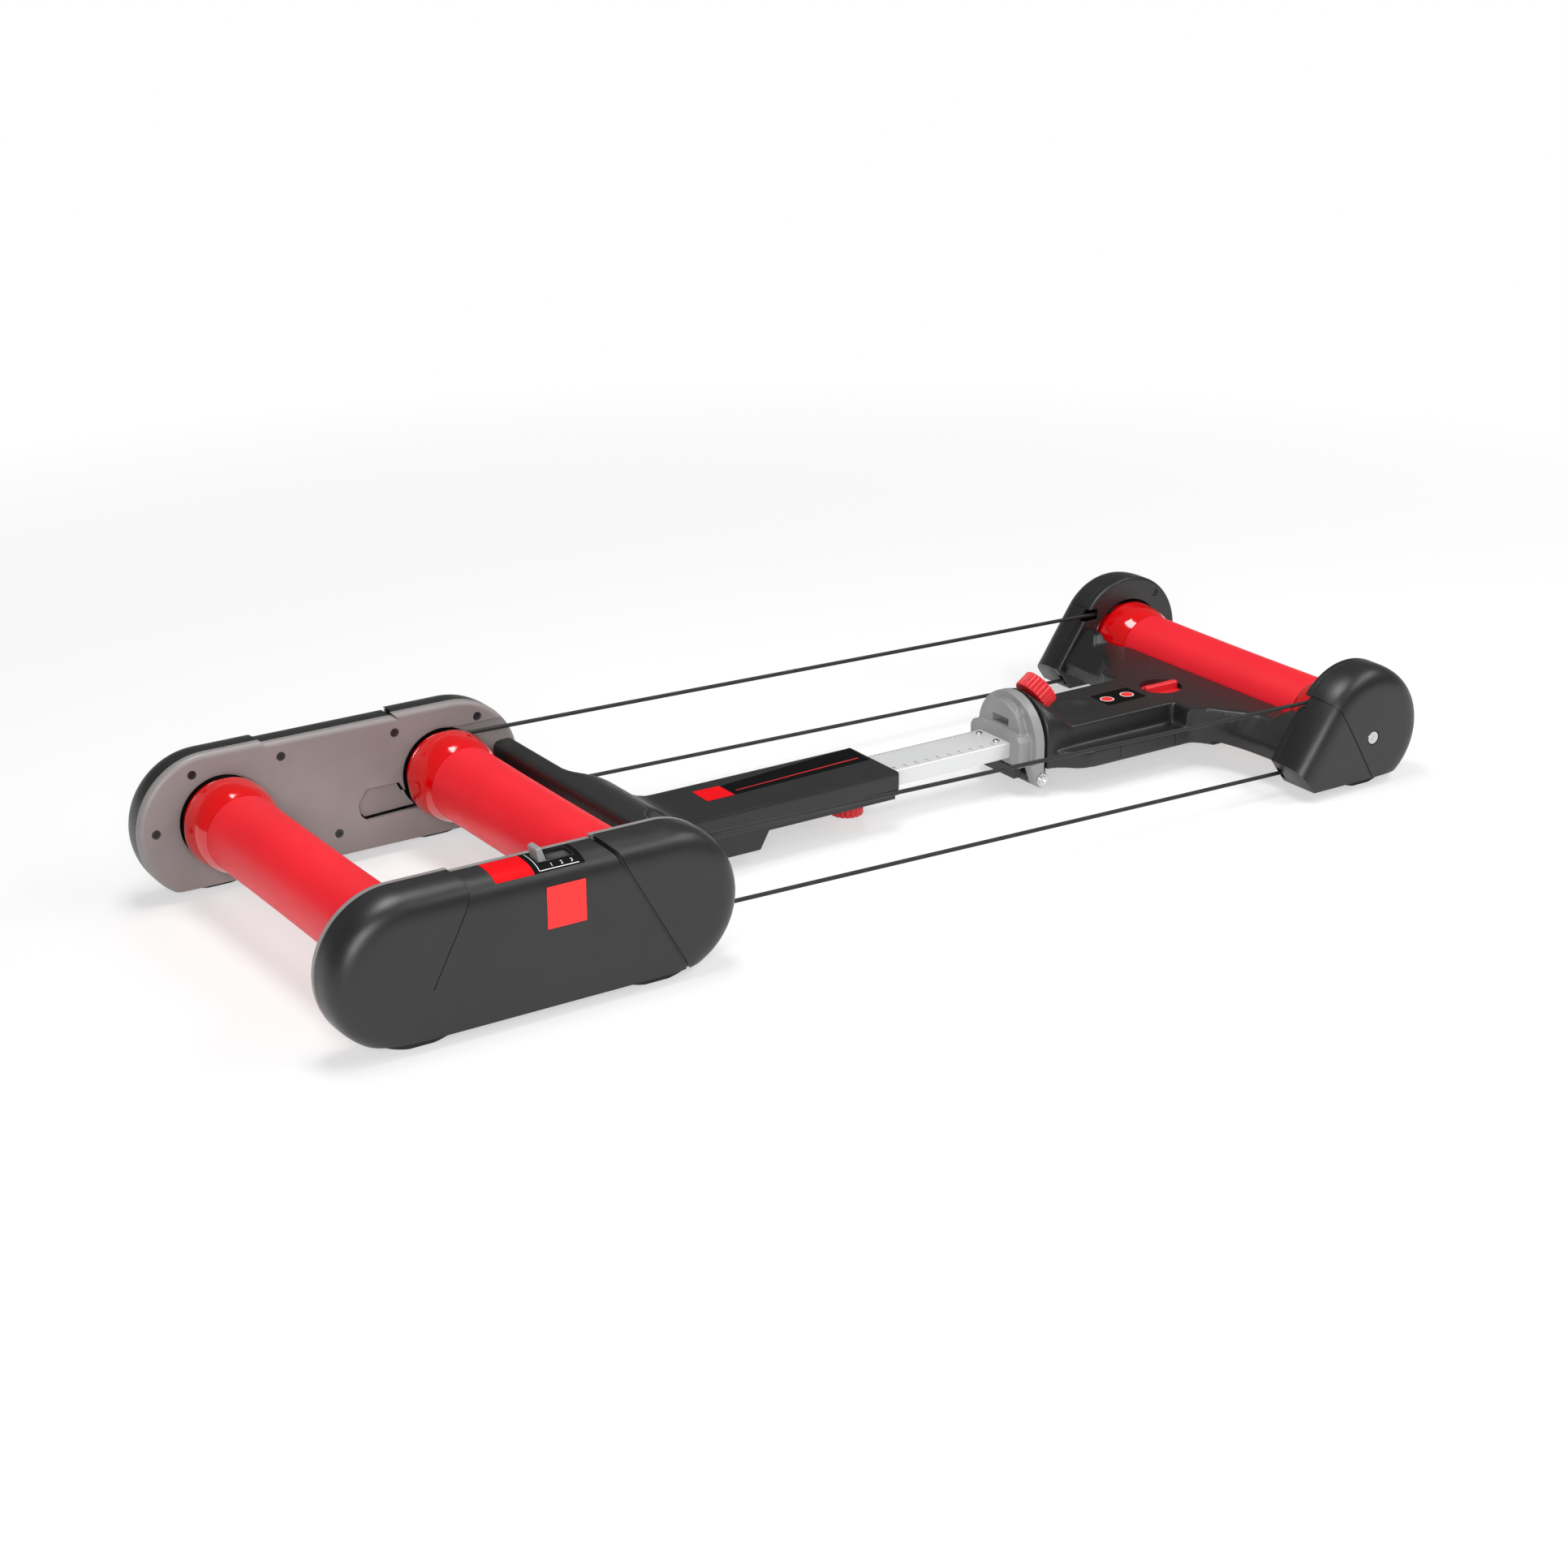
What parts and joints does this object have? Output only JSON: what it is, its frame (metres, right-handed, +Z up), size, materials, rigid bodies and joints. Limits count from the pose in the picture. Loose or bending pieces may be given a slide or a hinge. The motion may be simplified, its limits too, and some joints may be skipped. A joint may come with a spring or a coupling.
{
  "type": "bike rollers",
  "caption": "Folding bike rollers: waisted drums between side housings, drive belts, a sliding rail and a folding front frame.",
  "frame": {"origin": "centre of the bounding box, on the floor plane the rockers stand on", "axes": "+X along the rail from the rear drums towards the front drum, +Y to the left along the drum axles, +Z up"},
  "size_m": [1.3904, 0.5186, 0.1691],
  "materials": {
    "black_plastic": "fine grain",
    "plate_plastic": "satin",
    "grey_plastic": "satin",
    "drum_plastic": "satin",
    "cap_plastic": "gloss",
    "knob_plastic": "satin",
    "rubber": "matte",
    "aluminium": "satin anodised",
    "steel": "zinc plated"
  },
  "bodies": {
    "rear_frame": {"rear_beam": "black_plastic", "belly_cover": "black_plastic", "left_rear_plate": "plate_plastic", "right_rear_plate": "plate_plastic", "left_rear_cover": "black_plastic", "right_rear_cover": "black_plastic", "rear_axle": "steel", "middle_axle": "steel", "lever_pin": "steel", "left_belt": "rubber", "right_belt": "rubber"},
    "rear_drum": {"rear_drum_tube": "drum_plastic", "rear_drum_cap_left": "cap_plastic", "rear_drum_bearing_left": "steel", "rear_drum_cap_right": "cap_plastic", "rear_drum_bearing_right": "steel"},
    "middle_drum": {"middle_drum_tube": "drum_plastic", "middle_drum_cap_left": "cap_plastic", "middle_drum_bearing_left": "steel", "middle_drum_cap_right": "cap_plastic", "middle_drum_bearing_right": "steel", "brake_disc": "aluminium"},
    "rail": {"rail": "aluminium", "rail_end_plug": "black_plastic", "rail_screw_left": "steel", "rail_screw_right": "steel", "hinge_bracket": "grey_plastic", "hinge_stop": "black_plastic", "hinge_bolt": "steel", "hinge_nut": "steel"},
    "front_frame": {"front_beam": "black_plastic", "left_front_plate": "black_plastic", "right_front_plate": "black_plastic", "left_front_cover": "black_plastic", "right_front_cover": "black_plastic", "front_axle": "steel", "left_axle_screw": "steel", "right_axle_screw": "steel"},
    "front_drum": {"front_drum_tube": "drum_plastic", "front_drum_cap_left": "cap_plastic", "front_drum_bearing_left": "steel", "front_drum_cap_right": "cap_plastic", "front_drum_bearing_right": "steel"},
    "resistance_lever": {"resistance_lever": "grey_plastic", "magnet_arm": "steel", "brake_magnet": "steel"},
    "clamp_knob": {"clamp_knob": "knob_plastic"},
    "fold_knob": {"fold_knob": "knob_plastic"},
    "float_lock": {"float_lock_knob": "knob_plastic", "float_lock_cam": "black_plastic"},
    "rear_rocker_left": {"rear_rocker_left": "rubber"},
    "rear_rocker_right": {"rear_rocker_right": "rubber"},
    "middle_rocker_left": {"middle_rocker_left": "rubber"},
    "middle_rocker_right": {"middle_rocker_right": "rubber"},
    "front_rocker_left": {"front_rocker_left": "rubber"},
    "front_rocker_right": {"front_rocker_right": "rubber"}
  },
  "joints": [
    {"name": "rear_drum_spin", "type": "hinge", "parent": "rear_frame", "child": "rear_drum", "pos_m": [-0.6017, 0, 0.0845], "axis": [0, 1, 0], "continuous": true},
    {"name": "middle_drum_spin", "type": "hinge", "parent": "rear_frame", "child": "middle_drum", "pos_m": [-0.3427, 0, 0.0845], "axis": [0, 1, 0], "continuous": true},
    {"name": "rail_slide", "type": "slide", "parent": "rear_frame", "child": "rail", "axis": [1, 0, 0], "range_m": [-0.122, 0.041], "deforming": ["left_belt", "right_belt"]},
    {"name": "front_fold", "type": "hinge", "parent": "rail", "child": "front_frame", "pos_m": [0.2873, 0, 0.02], "axis": [0, 1, 0], "range_deg": [0, 180], "deforming": ["left_belt", "right_belt"]},
    {"name": "front_drum_spin", "type": "hinge", "parent": "front_frame", "child": "front_drum", "pos_m": [0.6167, 0, 0.0615], "axis": [0, 1, 0], "continuous": true},
    {"name": "resistance_lever_turn", "type": "hinge", "parent": "rear_frame", "child": "resistance_lever", "pos_m": [-0.4497, -0.232, 0.1], "axis": [0, 1, 0], "range_deg": [0, 28]},
    {"name": "clamp_knob_turn", "type": "hinge", "parent": "rear_frame", "child": "clamp_knob", "pos_m": [0.0533, 0, 0.024], "axis": [0, 0, 1], "continuous": true},
    {"name": "fold_knob_turn", "type": "hinge", "parent": "front_frame", "child": "fold_knob", "pos_m": [0.3193, 0, 0.105], "axis": [0.8192, 0, 0.5736], "continuous": true},
    {"name": "float_lock_turn", "type": "hinge", "parent": "front_frame", "child": "float_lock", "pos_m": [0.5083, 0, 0.072], "axis": [0, 0, 1], "range_deg": [0, 90]},
    {"name": "rear_rocker_left_sway", "type": "hinge", "parent": "rear_frame", "child": "rear_rocker_left", "pos_m": [-0.6017, 0.2363, 0.0845], "axis": [0, 1, 0], "range_deg": [-10, 10], "stiffness_Nm_per_rad": 5},
    {"name": "rear_rocker_right_sway", "type": "hinge", "parent": "rear_frame", "child": "rear_rocker_right", "pos_m": [-0.6017, -0.2363, 0.0845], "axis": [0, 1, 0], "range_deg": [-10, 10], "stiffness_Nm_per_rad": 5},
    {"name": "middle_rocker_left_sway", "type": "hinge", "parent": "rear_frame", "child": "middle_rocker_left", "pos_m": [-0.3427, 0.2363, 0.0845], "axis": [0, 1, 0], "range_deg": [-10, 10], "stiffness_Nm_per_rad": 5},
    {"name": "middle_rocker_right_sway", "type": "hinge", "parent": "rear_frame", "child": "middle_rocker_right", "pos_m": [-0.3427, -0.2363, 0.0845], "axis": [0, 1, 0], "range_deg": [-10, 10], "stiffness_Nm_per_rad": 5},
    {"name": "front_rocker_left_sway", "type": "hinge", "parent": "front_frame", "child": "front_rocker_left", "pos_m": [0.6167, 0.2244, 0.0615], "axis": [0, 1, 0], "range_deg": [-10, 10], "stiffness_Nm_per_rad": 5},
    {"name": "front_rocker_right_sway", "type": "hinge", "parent": "front_frame", "child": "front_rocker_right", "pos_m": [0.6167, -0.2244, 0.0615], "axis": [0, 1, 0], "range_deg": [-10, 10], "stiffness_Nm_per_rad": 5}
  ],
  "couplings": [
    {"joint": "front_drum_spin", "follows": "middle_drum_spin", "ratio": 1}
  ]
}
